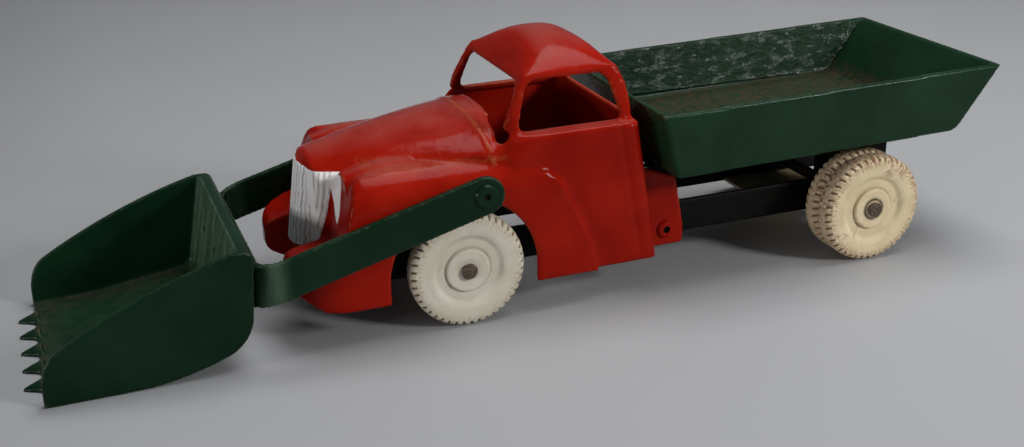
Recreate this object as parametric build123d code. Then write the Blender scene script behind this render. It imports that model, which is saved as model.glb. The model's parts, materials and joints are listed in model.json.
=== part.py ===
"""A cast toy truck with an overshot front loader, as separate pieces.

Millimetres.  +X runs forward to the bucket's teeth, +Y to the driver's left, +Z up.  The drawing below
is laid out from the front axle (x = 0) on the ground (z = 0); every piece is moved at the end so that
the origin lies under the middle of the whole truck.
"""
import os
from math import cos, hypot, radians, sin, tan

from build123d import *

# ---- clearances ---------------------------------------------------------------------------------
running_fit = 0.05      # radial play of a wheel, lug or arm on its pin
body_gap = 0.3          # air between pieces that move past each other
hair = 0.01             # a length too small to matter, for picking edges and closing round ends

# ---- wheels and axles ---------------------------------------------------------------------------
wheel_radius = 28.5
wheel_width = 11.3
wheel_face_radius = 26.7
hub_radius = 10.6
hub_step = 1.0
rim_ring_radius = 16.3
web_depth = 1.6
wheel_shoulder = 2.2
axle_radius = 3.2
axle_head_radius = 4.0
axle_head_tip = 3.0
axle_head_length = 1.2
wheelbase = 220.2
front_track_outer = 53.0     # outer face of a front wheel
rear_track_outer = 62.6      # outer face of a rear pair
spacer_radius = 5.4

# ---- chassis ------------------------------------------------------------------------------------
rail_outer = 30.0
rail_thickness = 3.0
rail_height = 17.0
rail_front = 44.0
rail_rear_overhang = 36.0
rail_end_radius = 3.0
plate_thickness = 1.6
cross_plate_front = -183.0
cross_plate_length = 45.0
nose_plate_front = 40.0
nose_plate_length = 16.0
rivet_radius = 1.6
rivet_head_radius = 2.8
rivet_head_height = 1.0
rest_front = -106.0
rest_length = 13.0
rest_thickness = 3.0
rest_corner = 5.0

# ---- tray ---------------------------------------------------------------------------------------
tray_half_width = 60.3
tray_wall = 3.2
tray_top = 96.75
tray_bottom = 63.75
tray_floor_front = -105.5
tray_floor_rear = -269.0
tray_front_rake = 7.9
tray_tail_rake = 26.0
tray_pitch = 1.1             # the lowered tray's nose hangs lower than its tail, degrees
tray_corner = 2.5
tray_inner_corner = 4.0
tray_inner_tail_corner = 8.0
tray_inner_edge = 2.4
tray_tail_corner = 9.0
hinge_x = -243.0
hinge_drop = 9.25            # hinge pin below the tray's underside
hinge_pin_radius = 2.5
hinge_lug_radius = 7.0
hinge_lug_width = 7.0
bracket_thickness = 3.0
bracket_nose_radius = 8.5
bracket_length = 44.0
bracket_rivet_setback = 4.0
bracket_foot_radius = 2.0
hinge_pin_head_radius = 4.0

# ---- loader -------------------------------------------------------------------------------------
pivot_x = -8.0
arm_height = 19.27           # measured upright
arm_slope = 15.27            # fall of the arm towards the bucket, degrees
arm_axis_height = 66.4       # height of the arm's middle line at the pivot
arm_thickness = 3.5
arm_outer = 57.0
arm_bend_radius = 14.0
pivot_shank_radius = 1.8
pivot_head_radius = 6.2
pivot_head_top_radius = 5.0
pivot_head_height = 1.5
pivot_tail_radius = 3.0
pivot_dimple_radius = 1.7
pivot_dimple_depth = 1.3

# ---- bucket -------------------------------------------------------------------------------------
bucket_half_width = 56.5
bucket_plate = 3.0
bucket_front = 194.7
bucket_top = 57.0
bucket_flat_length = 34.7
heel_radius = 120.0
heel_turn = 22.0
back_radius = 20.0
back_lean = 5.0
bucket_corner = 4.0
bucket_inner_radius = 1.8
crest_setback = 10.0
shoulder_length = 8.5        # front corner of the side plate, back from the lip
shoulder_height = 25.2
plate_bulge = 2.6
lip_height = 6.0
lip_thickness = 1.4
floor_run = 30.0
floor_thickness = 2.4
heel_floor_thickness = 9.4
back_thickness = 6.6
heel_inner_setback = 13.2
heel_inner_radius = 7.0
tooth_count = 5
tooth_pitch = 18.0
tooth_length = 8.0
tooth_width = 13.0
tooth_height = 4.6
tooth_root = 2.0
tooth_tip_width = 1.8
tooth_tip_height = 1.2
bucket_rivets_apart = 60.0
bucket_rivet_grip = 7.8      # from the bucket's back face to the head inside

# ---- cab casting --------------------------------------------------------------------------------
cab_wall = 3.0
cab_half_width = 49.0
cab_bottom = 16.5
belt_height = 89.5
body_front = -22.0
body_rear_top = -90.5
body_rear_bottom = -102.0
body_corner = 5.0
belt_corner = 2.0
pillar_root = 4.0            # the pillars start this far below the belt
glasshouse_half_base = 45.0
glasshouse_half_top = 37.0
glasshouse_crease_drop = 12.5
glasshouse_crease_radius = 10.0
roof_height = 129.5
windscreen_foot = -19.0
windscreen_bow = 3.0         # how far the windscreen bows forward in plan
windscreen_head = -33.0
windscreen_head_drop = 16.5  # the roof's side profile, measured down from its crest
roof_front = -44.0
roof_front_drop = 4.0
roof_crest = -62.0
roof_crest_rise = 1.5
roof_rear = -79.0
roof_rear_drop = 6.5
rear_pillar = -86.5
rear_pillar_drop = 22.5
rear_pillar_foot = -90.0
windscreen_head_radius = 14.0
roof_front_radius = 14.0
roof_crest_radius = 28.0
roof_rear_radius = 16.0
rear_pillar_radius = 20.0
glasshouse_front_corner = 22.0
glasshouse_rear_corner = 9.0
side_window_sill = 90.3
side_window_head_drop = 16.9 # heads of the openings, measured down from the roof
side_window_foot_front = -29.5
side_window_head_front = -36.0
side_window_head_rear = -76.5
side_window_foot_rear = -83.0
windscreen_half_foot = 39.0
windscreen_half_head = 34.0
windscreen_opening_drop = 18.0
windscreen_corner = 8.0
side_window_sill_corner = 2.0
side_window_front_corner = 6.0
side_window_rear_corner = 7.0
rear_window_half = 34.0
rear_window_taper = 3.0
rear_window_sill = 91.5
rear_window_head_drop = 14.5
rear_window_sill_corner = 3.0
rear_window_head_corner = 8.0
cowl_half_width = 47.5
cowl_edge = 82.5
cowl_crown = 95.0
cowl_x = -24.0
bonnet_mid_x = 24.0
bonnet_mid_half_width = 33.0
bonnet_mid_edge = 79.5
bonnet_mid_crown = 89.5
bonnet_front_x = 65.0
bonnet_front_half_width = 19.0
bonnet_front_edge = 75.0
bonnet_front_crown = 81.0
bonnet_nose_corner = 16.0
bonnet_side_foot = 40.0
door_rear_top = -80.0
door_rear_bottom = -92.0
door_foot = 20.5
seam_depth = 0.6
seam_width = 1.0

fender_outer = 52.4
fender_inner = 20.0
fender_crown_radius = 16.0   # round top edge, seen from the front
fender_nose = 82.0
fender_nose_top = 40.0
fender_nose_radius = 7.0
fender_foot = 17.0
fender_chin_x = 68.0
fender_chin_height = 25.0
fender_ledge_x = 60.0
fender_ledge_height = 44.0
fender_brow_x = 56.0
fender_brow_height = 62.0
fender_brow_radius = 3.0
fender_crest = 80.0
fender_crest_front = 51.0
fender_crest_front_radius = 7.0
fender_crest_rear = -18.0
fender_crest_rear_radius = 30.0
fender_shoulder_x = -46.0
fender_shoulder_height = 70.0
fender_shoulder_radius = 18.0
fender_tail_x = -62.0
fender_tail_height = 38.0
fender_tail_radius = 30.0
fender_tail_foot = -68.0
fender_nose_sweep = 28.0
arch_centre_x = 1.5
arch_centre_height = 27.0
arch_radius = 36.5

headlamp_side = 30.5
headlamp_height = 69.5
headlamp_radius = 12.0
headlamp_front = 54.0
headlamp_length = 34.0
headlamp_rim = 1.4
headlamp_dish = 1.2

grille_top = 77.5
grille_bottom = 36.0
grille_top_nose = 67.0
grille_bottom_nose = 73.5
grille_top_half_width = 19.0
grille_bottom_half_width = 14.0
grille_ribs = 9
grille_back = 44.0
grille_straight_share = 0.45 # share of its depth that the grille runs straight before it rounds
rib_bulge = 0.9

lug_outer = 36.0
lug_rear = -122.5
lug_top = 53.0
lug_root_rise = 8.0          # the ear rises this much towards the cab
lug_root_length = 6.0
lug_rake = 5.0
lug_corner = 2.0
lug_elbow = 4.0
lug_hole_x = -112.0
lug_hole_height = 25.5
front_lug_x = 14.0
front_lug_length = 14.0
pivot_boss_radius = 5.0
pivot_boss_length = 7.0

# ---- places worked out from the sizes above -----------------------------------------------------
rear_axle_x = -wheelbase
axle_height = wheel_radius
rail_inner = rail_outer - rail_thickness
rail_top = axle_height + rail_height / 2
rail_bottom = axle_height - rail_height / 2
rail_rear = rear_axle_x - rail_rear_overhang
hinge_height = tray_bottom - hinge_drop
bucket_tip = bucket_front + tooth_length
tray_tail = tray_floor_rear - tray_tail_rake
tray_nose = tray_floor_front + tray_front_rake
tray_tail_reach = (hinge_x + (tray_tail - hinge_x) * cos(radians(tray_pitch))
                   + (tray_top - hinge_height) * sin(radians(tray_pitch)))
middle_x = (bucket_tip + tray_tail_reach) / 2
slope = tan(radians(arm_slope))


# ---- drawing helpers ----------------------------------------------------------------------------
on_base = (Align.CENTER, Align.CENTER, Align.MIN)


def upright(face):
    """A face drawn flat as (x, z), stood up in the side view."""
    return Rot(90, 0, 0) * face


def outline(points):
    """A closed outline; each point is (x, z, corner radius)."""
    return make_face(FilletPolyline(*[p[:2] for p in points], radius=[p[2] for p in points], close=True))


def slab(face, low, high):
    """A side-view face carried across the truck from one width to another."""
    return extrude(Pos(0, low, 0) * upright(face), amount=high - low, dir=(0, 1, 0))


def both_sides(shape):
    """A left-hand shape joined to its mirror image."""
    return shape + mirror(shape, about=Plane.XZ)


def cross_rod(x, z, radius, low, high):
    """A round bar lying across the truck."""
    return Pos(x, (low + high) / 2, z) * Rot(90, 0, 0) * Cylinder(radius, high - low)


def across(face, x=0.0):
    """A face drawn as (y, z), stood up facing forward at a place along the truck."""
    return Plane(origin=(x, 0, 0), x_dir=(0, 1, 0), z_dir=(1, 0, 0)) * face


def plate_box(x_low, x_high, y_low, y_high, z_low, z_high):
    """A square-edged block between three pairs of faces."""
    return Pos((x_low + x_high) / 2, (y_low + y_high) / 2, (z_low + z_high) / 2) * Box(
        x_high - x_low, y_high - y_low, z_high - z_low)


# ---- wheels and axles ---------------------------------------------------------------------------
def wheel():
    """One-piece rubber wheel, turned about Y: hub disc, sunk web and tyre."""
    half = wheel_width / 2
    bore = axle_radius + running_fit
    sunk = half - web_depth - hub_step
    side = [(bore, half - hub_step), (hub_radius, half - hub_step), (hub_radius + hub_step, sunk),
            (rim_ring_radius, sunk), (rim_ring_radius + web_depth, half - web_depth / 2),
            (wheel_face_radius, half), (wheel_radius, half - wheel_shoulder)]
    profile = side + [(r, -y) for r, y in reversed(side)]
    return revolve(make_face(Polyline(*profile, close=True)), axis=Axis.Y)


def axle(half_length):
    """A steel rod with its two ends hammered over."""
    rod = Rot(90, 0, 0) * Cylinder(axle_radius, 2 * half_length)
    head = Pos(0, half_length, 0) * Rot(-90, 0, 0) * Cone(
        axle_head_radius, axle_head_tip, axle_head_length, align=on_base)
    return rod + head + mirror(head, about=Plane.XZ)


def spacer(low, high):
    """A tube that keeps a wheel away from its rail."""
    return cross_rod(0, 0, spacer_radius, low, high) - cross_rod(0, 0, axle_radius + running_fit, low, high)


# ---- chassis ------------------------------------------------------------------------------------
def rail():
    """The left rail: a flat bar on edge with holes for axles, rivets and the cab's pins."""
    face = outline([(rail_front, rail_bottom, rail_end_radius), (rail_front, rail_top, rail_end_radius),
                    (rail_rear, rail_top, rail_end_radius), (rail_rear, rail_bottom, rail_end_radius)])
    bar = slab(face, rail_inner, rail_outer)
    for x in (0, rear_axle_x):
        bar -= cross_rod(x, axle_height, axle_radius + running_fit, rail_inner, rail_outer)
    for x, z in rail_rivet_places() + cab_pin_places():
        bar -= cross_rod(x, z, rivet_radius + running_fit, rail_inner, rail_outer)
    return bar


def rail_rivet_places():
    """Where the hinge brackets are riveted to the rails."""
    bracket_front = hinge_x - bracket_nose_radius + bracket_length
    height = rail_top - bracket_nose_radius / 2 - rivet_radius
    return [(bracket_front - bracket_rivet_setback, height), (hinge_x, height)]


def cab_pin_places():
    """Where the cab's rear ears are pinned to the rails."""
    return [(lug_hole_x, lug_hole_height)]


def floor_plate(front, length):
    """A flat plate held between the feet of the two rails."""
    top = rail_bottom + plate_thickness
    return plate_box(front - length, front, -rail_inner, rail_inner, rail_bottom, top)


def rivet(x, z, inner, outer):
    """A round-headed rivet from the inside face to the outside face of what it holds, left side."""
    shank = cross_rod(x, z, rivet_radius, inner, outer)
    head = Pos(x, outer, z) * Rot(-90, 0, 0) * Cone(
        rivet_head_radius, rivet_head_radius / 2, rivet_head_height, align=on_base)
    tail = Pos(x, inner, z) * Rot(90, 0, 0) * Cone(
        rivet_head_radius, rivet_head_radius / 2, rivet_head_height, align=on_base)
    return shank + head + tail


def hinge_bracket():
    """The left upright that carries the tray's hinge pin, inside the rail."""
    rear = hinge_x - bracket_nose_radius
    front = rear + bracket_length
    top = hinge_height + bracket_nose_radius
    foot = rail_bottom + rivet_head_radius
    face = outline([(rear, foot, bracket_foot_radius), (rear, top, bracket_nose_radius),
                    (front, top, bracket_nose_radius), (front, foot, bracket_foot_radius)])
    plate = slab(face, rail_inner - bracket_thickness, rail_inner)
    low, high = rail_inner - bracket_thickness, rail_inner
    plate -= cross_rod(hinge_x, hinge_height, hinge_pin_radius + running_fit, low, high)
    plate -= cross_rod(rear_axle_x, axle_height, axle_radius + running_fit, low, high)
    for x, z in rail_rivet_places():
        plate -= cross_rod(x, z, rivet_radius + running_fit, low, high)
    return plate


def tray_rest():
    """A strap standing on the rails behind the cab; the lowered tray lies on it."""
    front = rest_front
    top = tray_bottom - (front - hinge_x) * tan(radians(tray_pitch)) - body_gap
    rear = front - rest_length
    outside = outline([(-rail_outer, rail_top, 0), (-rail_outer, top, rest_corner),
                       (rail_outer, top, rest_corner), (rail_outer, rail_top, 0)])
    half, inner_corner = rail_outer - rest_thickness, rest_corner - rest_thickness
    inside = outline([(-half, rail_top, 0), (-half, top - rest_thickness, inner_corner),
                      (half, top - rest_thickness, inner_corner), (half, rail_top, 0)])
    return extrude(across(outside - inside, rear), amount=rest_length, dir=(1, 0, 0))


# ---- tray ---------------------------------------------------------------------------------------
def tray():
    """A cast open tray with a raked front and a scow tail, and two hinge lugs below."""
    shell = slab(outline([(tray_nose, tray_top, 0), (tray_floor_front, tray_bottom, tray_corner),
                          (tray_floor_rear, tray_bottom, tray_tail_corner), (tray_tail, tray_top, 0)]),
                 -tray_half_width, tray_half_width)
    inner_half = tray_half_width - tray_wall
    floor = tray_bottom + tray_wall
    rise = (tray_top - floor) / (tray_top - tray_bottom)
    tail_wall = tray_wall * hypot(tray_tail_rake, tray_top - tray_bottom) / (tray_top - tray_bottom)
    open_top = tray_top + tray_wall
    over = (open_top - floor) / (tray_top - floor)
    front_run = tray_front_rake * rise
    tail_run = tray_tail_rake * rise
    front_foot = tray_nose - tray_wall - front_run
    tail_foot = tray_tail + tail_wall + tail_run
    hollow = outline([(front_foot + front_run * over, open_top, 0), (front_foot, floor, tray_inner_corner),
                      (tail_foot, floor, tray_inner_tail_corner),
                      (tail_foot - tail_run * over, open_top, 0)])
    cavity = slab(hollow, -inner_half, inner_half)
    long_edges = [e for e in cavity.edges().filter_by(Axis.Z, reverse=True)
                  if abs(abs(e.center().Y) - inner_half) < hair and e.center().Z < open_top - hair]
    cavity = fillet(long_edges, tray_inner_edge)
    body = shell - cavity
    root, low, turn = tray_bottom + tray_wall / 2, hinge_height - hinge_lug_radius, hinge_lug_radius - hair
    lug_face = outline([(hinge_x - hinge_lug_radius, root, 0), (hinge_x - hinge_lug_radius, low, turn),
                        (hinge_x + hinge_lug_radius, low, turn), (hinge_x + hinge_lug_radius, root, 0)])
    lug_high = rail_inner - bracket_thickness - body_gap
    lug = slab(lug_face, lug_high - hinge_lug_width, lug_high)
    body += both_sides(lug)
    body -= cross_rod(hinge_x, hinge_height, hinge_pin_radius + running_fit, -rail_inner, rail_inner)
    to_hinge = Pos(hinge_x, 0, hinge_height)
    return to_hinge * Rot(0, tray_pitch, 0) * Pos(-hinge_x, 0, -hinge_height) * body


def hinge_pin():
    """The pin that the tray tips on, headed at both ends."""
    rod = cross_rod(hinge_x, hinge_height, hinge_pin_radius, -rail_inner, rail_inner)
    head = Pos(hinge_x, rail_inner, hinge_height) * Rot(-90, 0, 0) * Cone(
        hinge_pin_head_radius, hinge_pin_radius, rivet_head_height, align=on_base)
    return rod + both_sides(head)


# ---- loader -------------------------------------------------------------------------------------
def arm_middle(x):
    """Height of the arm's middle line."""
    return arm_axis_height - slope * (x - pivot_x)


def bucket_back_points():
    """Where the bucket's rounded back ends and its leaning back wall starts."""
    heel = radians(heel_turn)
    stop = radians(90 - back_lean)
    heel_x = bucket_front - bucket_flat_length - heel_radius * sin(heel)
    heel_z = heel_radius * (1 - cos(heel))
    return (heel_x - back_radius * (sin(stop) - sin(heel)), heel_z + back_radius * (cos(heel) - cos(stop)))


def back_face_x(z):
    """The bucket's outer back wall at a height."""
    x, start = bucket_back_points()
    return x - tan(radians(back_lean)) * (z - start)


def yoke():
    """A flat bar bent into a U: two arms falling forward and a crossbar behind the bucket."""
    lean = (-sin(radians(back_lean)), 0, cos(radians(back_lean)))
    end_radius = arm_height * cos(radians(arm_slope)) / 2
    rear = pivot_x - 2 * arm_height
    front = back_face_x(0)
    plan_outer = FilletPolyline((rear, -arm_outer), (front, -arm_outer), (front, arm_outer),
                                (rear, arm_outer), radius=arm_bend_radius)
    inner, behind = arm_outer - arm_thickness, front - arm_thickness
    plan_inner = FilletPolyline((rear, -inner), (behind, -inner), (behind, inner), (rear, inner),
                                radius=arm_bend_radius - arm_thickness)
    ends = Line(plan_outer @ 0, plan_inner @ 0) + Line(plan_outer @ 1, plan_inner @ 1)
    plan = make_face(plan_outer + plan_inner + ends)
    bar = extrude(plan, amount=bucket_top + arm_axis_height, dir=lean)
    half = arm_height / 2
    reach = front + arm_height
    along = (cos(radians(arm_slope)), -sin(radians(arm_slope)))
    end_x = pivot_x - end_radius * along[0]
    end_z = arm_axis_height - end_radius * along[1]
    up = (end_radius * -along[1], end_radius * along[0])
    side = outline([(end_x + up[0], end_z + up[1], end_radius - hair), (reach, arm_middle(reach) + half, 0),
                    (reach, arm_middle(reach) - half, 0), (end_x - up[0], end_z - up[1], end_radius - hair)])
    bar = bar & slab(side, -arm_outer, arm_outer)
    bar -= cross_rod(pivot_x, arm_axis_height, pivot_shank_radius + running_fit, -arm_outer, arm_outer)
    for y, z in bucket_rivet_places():
        bar -= back_rod(y, z, rivet_radius + running_fit, -2 * arm_thickness, 2 * arm_thickness)
    return bar


def bucket_rivet_places():
    """Where the crossbar is riveted to the bucket's back, as (y, z)."""
    z = arm_middle(back_face_x(arm_axis_height / 2))
    return [(y, z) for y in (-bucket_rivets_apart / 2, 0, bucket_rivets_apart / 2)]


def back_rod(y, z, radius, low, high):
    """A bar square to the bucket's leaning back wall, from low to high along the way forward."""
    rod = Pos(0, 0, (low + high) / 2) * Cylinder(radius, high - low)
    return Pos(back_face_x(z), y, z) * Rot(0, 90 - back_lean, 0) * rod


def bucket():
    """A cast scoop: rounded back, side plates, a thin lip with five teeth."""
    heel = JernArc(start=(bucket_front - bucket_flat_length, 0), tangent=(-1, 0), radius=heel_radius,
                   arc_size=-heel_turn)
    bend = JernArc(start=heel @ 1, tangent=heel % 1, radius=back_radius,
                   arc_size=-(90 - back_lean - heel_turn))
    floor = Line((bucket_front, 0), heel @ 0)
    back_top = (back_face_x(bucket_top), bucket_top)
    crest = (back_top[0] + crest_setback, bucket_top)
    shoulder = (bucket_front - shoulder_length, shoulder_height)
    middle = ((crest[0] + shoulder[0]) / 2 + plate_bulge / 2, (crest[1] + shoulder[1]) / 2 + plate_bulge)
    top_edge = ThreePointArc(crest, middle, shoulder)
    front_corner = (bucket_front, lip_height)
    nose = Spline(shoulder, front_corner, tangents=[top_edge % 1, (0, -1)])
    edge = (floor + heel + bend + Line(bend @ 1, back_top) + Line(back_top, crest) + top_edge + nose
            + Line(front_corner, (bucket_front, 0)))
    solid = slab(make_face(edge), -bucket_half_width, bucket_half_width)
    back_edges = [e for e in solid.edges().filter_by(Axis.Y)
                  if abs(e.center().X - back_top[0]) < hair and abs(e.center().Z - bucket_top) < hair]
    solid = fillet(back_edges, bucket_corner)
    inner = bucket_half_width - bucket_plate
    high = bucket_top + bucket_corner
    cavity = slab(outline([(back_face_x(high) + back_thickness, high, 0),
                           (bend_x() + heel_inner_setback, heel_floor_thickness, heel_inner_radius),
                           (bucket_front - floor_run, floor_thickness, 0), (bucket_front, lip_thickness, 0),
                           (bucket_tip, lip_thickness, 0), (bucket_tip, high, 0)]), -inner, inner)
    corners = [e for e in cavity.edges() if abs(abs(e.center().Y) - inner) < hair
               and e.center().Z < bucket_top and e.center().X < bucket_front - hair]
    cavity = fillet(corners, bucket_inner_radius)
    solid -= cavity
    for i in range(tooth_count):
        solid += Pos(bucket_front, (i - (tooth_count - 1) / 2) * tooth_pitch, 0) * tooth()
    for y, z in bucket_rivet_places():
        solid -= back_rod(y, z, rivet_radius + running_fit, -arm_thickness, bucket_rivet_grip)
        solid -= back_rod(y, z, rivet_head_radius + body_gap, bucket_rivet_grip, 3 * back_thickness)
    return solid


def bend_x():
    """How far back the bucket's rounded back reaches before its wall stands up."""
    return bucket_back_points()[0]


def tooth():
    """A pointed tooth with a flat sole."""
    root = tooth_section(tooth_width, tooth_height, -tooth_root)
    tip = tooth_section(tooth_tip_width, tooth_tip_height, tooth_length)
    return loft([root, tip])


def tooth_section(width, height, x):
    """Half an ellipse standing on its sole."""
    return across(Ellipse(width / 2, height) & Pos(0, height / 2) * Rectangle(width, height), x)


def bucket_rivets():
    """Three rivets through the crossbar and the bucket's back wall."""
    parts = []
    for y, z in bucket_rivet_places():
        grip = bucket_rivet_grip
        shank = back_rod(y, z, rivet_radius, -arm_thickness, grip)
        place = Pos(back_face_x(z), y, z) * Rot(0, 90 - back_lean, 0)
        head = place * Pos(0, 0, grip) * Cone(rivet_head_radius, rivet_head_radius / 2, rivet_head_height,
                                              align=on_base)
        tail = place * Pos(0, 0, -arm_thickness) * Rot(180, 0, 0) * Cone(
            rivet_head_radius, rivet_head_radius / 2, rivet_head_height, align=on_base)
        parts.append(shank + head + tail)
    return Compound([p.solid() for p in parts])


def pivot_rivet():
    """The left rivet that an arm turns on, with a dimpled head."""
    inner = fender_outer - cab_wall - pivot_boss_length
    shank = cross_rod(pivot_x, arm_axis_height, pivot_shank_radius, inner, arm_outer)
    place = Pos(pivot_x, arm_outer + running_fit, arm_axis_height) * Rot(-90, 0, 0)
    head = place * Cone(pivot_head_radius, pivot_head_top_radius, pivot_head_height,
                        align=on_base)
    neck_end = arm_outer + pivot_head_height / 2
    neck = cross_rod(pivot_x, arm_axis_height, pivot_shank_radius, arm_outer, neck_end)
    dimple = place * Pos(0, 0, pivot_head_height - pivot_dimple_depth) * Cylinder(
        pivot_dimple_radius, pivot_dimple_depth, align=on_base)
    tail = Pos(pivot_x, inner, arm_axis_height) * Rot(90, 0, 0) * Cone(
        pivot_tail_radius, pivot_shank_radius, rivet_head_height, align=on_base)
    return shank + neck + head + tail - dimple


# ---- cab casting --------------------------------------------------------------------------------
def body_block(inset):
    """The lower cab behind the bonnet, with its raked back panel."""
    foot = cab_bottom if not inset else 0
    front = body_front - inset
    lean = (body_rear_top - body_rear_bottom) / (belt_height - cab_bottom)
    face = outline([(front, foot, 0), (front, belt_height - inset, 0),
                    (body_rear_top + inset, belt_height - inset, 0),
                    (body_rear_top + inset - lean * (belt_height - foot), foot, 0)])
    half = cab_half_width - inset
    return slab(face, -half, half)


def glasshouse(inset):
    """Roof and pillars: what the side view, the front view and the plan have in common."""
    base, top = glasshouse_half_base, glasshouse_half_top
    low = belt_height - pillar_root
    side = outline([(windscreen_foot, low, 0),
                    (windscreen_head, roof_height - windscreen_head_drop, windscreen_head_radius),
                    (roof_front, roof_height - roof_front_drop, roof_front_radius),
                    (roof_crest, roof_height + roof_crest_rise, roof_crest_radius),
                    (roof_rear, roof_height - roof_rear_drop, roof_rear_radius),
                    (rear_pillar, roof_height - rear_pillar_drop, rear_pillar_radius),
                    (rear_pillar_foot, low, 0)])
    crease = roof_height - glasshouse_crease_drop
    front = make_face(Line((-base, low), (base, low)) + Line((base, low), (top, crease))
                      + ThreePointArc((top, crease), (0, roof_height), (-top, crease))
                      + Line((-top, crease), (-base, low)))
    front = fillet([v for v in front.vertices() if v.Y > low + hair], glasshouse_crease_radius)
    nose = windscreen_foot + windscreen_bow
    plan = outline([(nose, -base, glasshouse_front_corner), (nose, base, glasshouse_front_corner),
                    (rear_pillar_foot, base, glasshouse_rear_corner),
                    (rear_pillar_foot, -base, glasshouse_rear_corner)])
    if inset:
        side = offset(side, amount=-inset)
        front = offset(front, amount=-inset)
        plan = offset(plan, amount=-inset)
    solid = slab(side, -base, base)
    length = windscreen_foot - rear_pillar_foot
    solid = solid & extrude(across(front, rear_pillar_foot - length / 2), amount=2 * length, dir=(1, 0, 0))
    return solid & extrude(plan, amount=roof_height + roof_crest_rise)


def bonnet_section(x, half, foot, edge, crown):
    """One arch across the bonnet."""
    arch = ThreePointArc((half, edge), (0, crown), (-half, edge))
    face = make_face(Line((-half, foot), (half, foot)) + Line((half, foot), (half, edge)) + arch
                     + Line((-half, edge), (-half, foot)))
    return across(face, x)


def bonnet(inset):
    """The bonnet, from the cowl to a nose rounded in plan above the grille."""
    rear, front = cowl_x - inset, bonnet_front_x - inset
    nose_half, nose_corner = bonnet_front_half_width - inset, bonnet_nose_corner - inset
    plan = outline([(rear, -cab_half_width, 0), (rear, cab_half_width, 0), (bonnet_mid_x, cab_half_width, 0),
                    (front, nose_half, nose_corner), (front, -nose_half, nose_corner),
                    (bonnet_mid_x, -cab_half_width, 0)])
    arches = [bonnet_section(rear, cowl_half_width - inset, bonnet_side_foot, cowl_edge - inset,
                             cowl_crown - inset),
              bonnet_section(bonnet_mid_x, bonnet_mid_half_width - inset, bonnet_side_foot,
                             bonnet_mid_edge - inset, bonnet_mid_crown - inset),
              bonnet_section(front, nose_half, bonnet_side_foot, bonnet_front_edge - inset,
                             bonnet_front_crown - inset)]
    return loft(arches) & extrude(plan, amount=roof_height)


def fender(inset):
    """The left front fender, from its rounded nose over the wheel to the foot of the door."""
    corners = [(fender_nose, fender_nose_top, fender_nose_radius),
               (fender_ledge_x, fender_ledge_height, fender_brow_radius),
               (fender_brow_x, fender_brow_height, fender_brow_radius),
               (fender_crest_front, fender_crest, fender_crest_front_radius),
               (fender_crest_rear, fender_crest, fender_crest_rear_radius),
               (fender_shoulder_x, fender_shoulder_height, fender_shoulder_radius),
               (fender_tail_x, fender_tail_height, fender_tail_radius)]
    if inset:
        below = -fender_foot
        face = outline([(fender_chin_x, below, 0)] + corners + [(fender_tail_foot, below, 0)])
        face = offset(face, amount=-inset)
    else:
        arch_front = arch_centre_x + arch_radius
        face = outline([(fender_chin_x, fender_foot, 0),
                        (fender_nose, fender_chin_height, fender_nose_radius)] + corners
                       + [(fender_tail_foot, cab_bottom, 0), (arch_front, cab_bottom, 0),
                          (arch_front, fender_foot, 0)])
    solid = slab(face, fender_inner + inset, fender_outer - inset)
    return solid & extrude(fender_plan(inset), amount=roof_height) & fender_crown(inset)


def fender_plan(inset):
    """Plan of the fender: the nose is swept back towards the outside."""
    face = outline([(fender_nose, 0, 0), (fender_nose, fender_outer, fender_nose_sweep),
                    (rail_rear, fender_outer, 0), (rail_rear, 0, 0)])
    if inset:
        face = offset(face, amount=-inset)
    return face


def fender_crown(inset):
    """The fender seen from the front: its top rolls over into its side."""
    top, side = fender_crest - inset, fender_outer - inset
    face = outline([(0, -roof_height, 0), (0, top, 0), (side, top, fender_crown_radius - inset),
                    (side, -roof_height, 0)])
    return extrude(across(face, rail_rear), amount=fender_nose - rail_rear, dir=(1, 0, 0))


def headlamp():
    """A left headlamp pod with a dished face inside a rim."""
    place = Pos(headlamp_front, headlamp_side, headlamp_height) * Rot(0, -90, 0)
    pod = place * Cylinder(headlamp_radius, headlamp_length, align=on_base)
    dish = place * Cylinder(headlamp_radius - headlamp_rim, headlamp_dish,
                            align=on_base)
    return pod, dish


def grille_section(height, nose, half):
    """Plan of the grille at one height: a rounded nose made of small ribs."""
    depth = nose - grille_back
    points = []
    for i in range(grille_ribs + 1):
        turn = radians(-90 + 180 * i / grille_ribs)
        round_share = (1 - grille_straight_share) * cos(turn)
        points.append((grille_back + depth * (grille_straight_share + round_share), half * sin(turn)))
    edges = Line((grille_back, -half), points[0])
    for a, b in zip(points, points[1:]):
        middle = ((a[0] + b[0]) / 2, (a[1] + b[1]) / 2)
        run = hypot(b[0] - a[0], b[1] - a[1])
        out = ((b[1] - a[1]) / run * rib_bulge, -(b[0] - a[0]) / run * rib_bulge)
        edges += ThreePointArc(a, (middle[0] + out[0], middle[1] + out[1]), b)
    edges += Line(points[-1], (grille_back, half)) + Line((grille_back, half), (grille_back, -half))
    return Pos(0, 0, height) * make_face(edges)


def grille_core_section(height, nose, half):
    """Plan of the hollow behind the grille."""
    inner, rear = half - cab_wall, grille_back - cab_wall
    reach, corner = nose - cab_wall - rib_bulge, inner - rib_bulge
    return Pos(0, 0, height) * outline([(rear, -inner, 0), (reach, -inner, corner), (reach, inner, corner),
                                        (rear, inner, 0)])


def grille():
    """The ribbed prow, hollow behind and open below."""
    shell = loft([grille_section(grille_bottom, grille_bottom_nose, grille_bottom_half_width),
                  grille_section(grille_top, grille_top_nose, grille_top_half_width)], ruled=True)
    core = loft([grille_core_section(grille_bottom, grille_bottom_nose, grille_bottom_half_width),
                 grille_core_section(grille_top, grille_top_nose, grille_top_half_width)], ruled=True)
    return shell - core


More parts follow.
